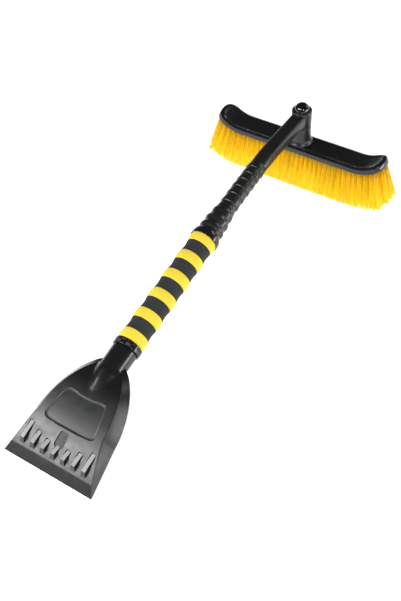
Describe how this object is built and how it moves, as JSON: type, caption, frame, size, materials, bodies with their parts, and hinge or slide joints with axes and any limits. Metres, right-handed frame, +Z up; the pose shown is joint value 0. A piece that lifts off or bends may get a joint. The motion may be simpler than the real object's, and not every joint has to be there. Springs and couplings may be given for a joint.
{
  "type": "windshield ice scraper with snow brush",
  "caption": "Long-handled windshield ice scraper with a foam grip, a shield-shaped scraper head at one end and a turning snow brush with a push-button pivot at the other.",
  "frame": {"origin": "centre of the floor area under the tool as it lies on its blade edge and bristle tips", "axes": "+Z up, -Y towards the scraper's blade, +Y towards the brush, X across the blade and along the brush; X = 0 is the mirror plane"},
  "size_m": [0.2972, 0.632, 0.131],
  "materials": {
    "scraper_plastic": "satin",
    "collar_plastic": "satin",
    "handle_plastic": "satin",
    "block_plastic": "satin",
    "button_plastic": "gloss",
    "yellow_foam": "matte",
    "black_foam": "matte",
    "bristles": "satin",
    "nylon": "satin",
    "aluminium": "satin",
    "steel": "satin"
  },
  "bodies": {
    "tool": {"scraper_head": "scraper_plastic", "neck_screw": "steel", "core_tube": "aluminium", "lower_collar": "collar_plastic", "foam_ring_yellow_1": "yellow_foam", "foam_ring_yellow_2": "yellow_foam", "foam_ring_yellow_3": "yellow_foam", "foam_ring_yellow_4": "yellow_foam", "foam_ring_yellow_5": "yellow_foam", "foam_ring_yellow_6": "yellow_foam", "foam_ring_black_1": "black_foam", "foam_ring_black_2": "black_foam", "foam_ring_black_3": "black_foam", "foam_ring_black_4": "black_foam", "foam_ring_black_5": "black_foam", "upper_collar": "collar_plastic", "handle_arm": "handle_plastic", "arm_screw": "steel", "pivot_bezel": "handle_plastic", "pivot_bush": "nylon", "thrust_washer": "steel"},
    "brush": {"pivot_tower": "handle_plastic", "retaining_ring": "steel", "tower_screw_left": "steel", "tower_screw_right": "steel", "brush_block": "block_plastic", "bristle_row_1": "bristles", "bristle_row_2": "bristles", "bristle_row_3": "bristles", "bristle_row_4": "bristles", "button_spring": "steel"},
    "button": {"pivot_button": "button_plastic"}
  },
  "joints": [
    {"name": "brush_pivot", "type": "hinge", "parent": "tool", "child": "brush", "pos_m": [0, 0.292, 0.1], "axis": [0, 0, 1], "range_deg": [-90, 90]},
    {"name": "button_press", "type": "slide", "parent": "brush", "child": "button", "axis": [0, 0, 1], "range_m": [-0.004, 0], "stiffness_N_per_m": 800, "springref_m": 0.004, "deforming": ["button_spring"]}
  ]
}
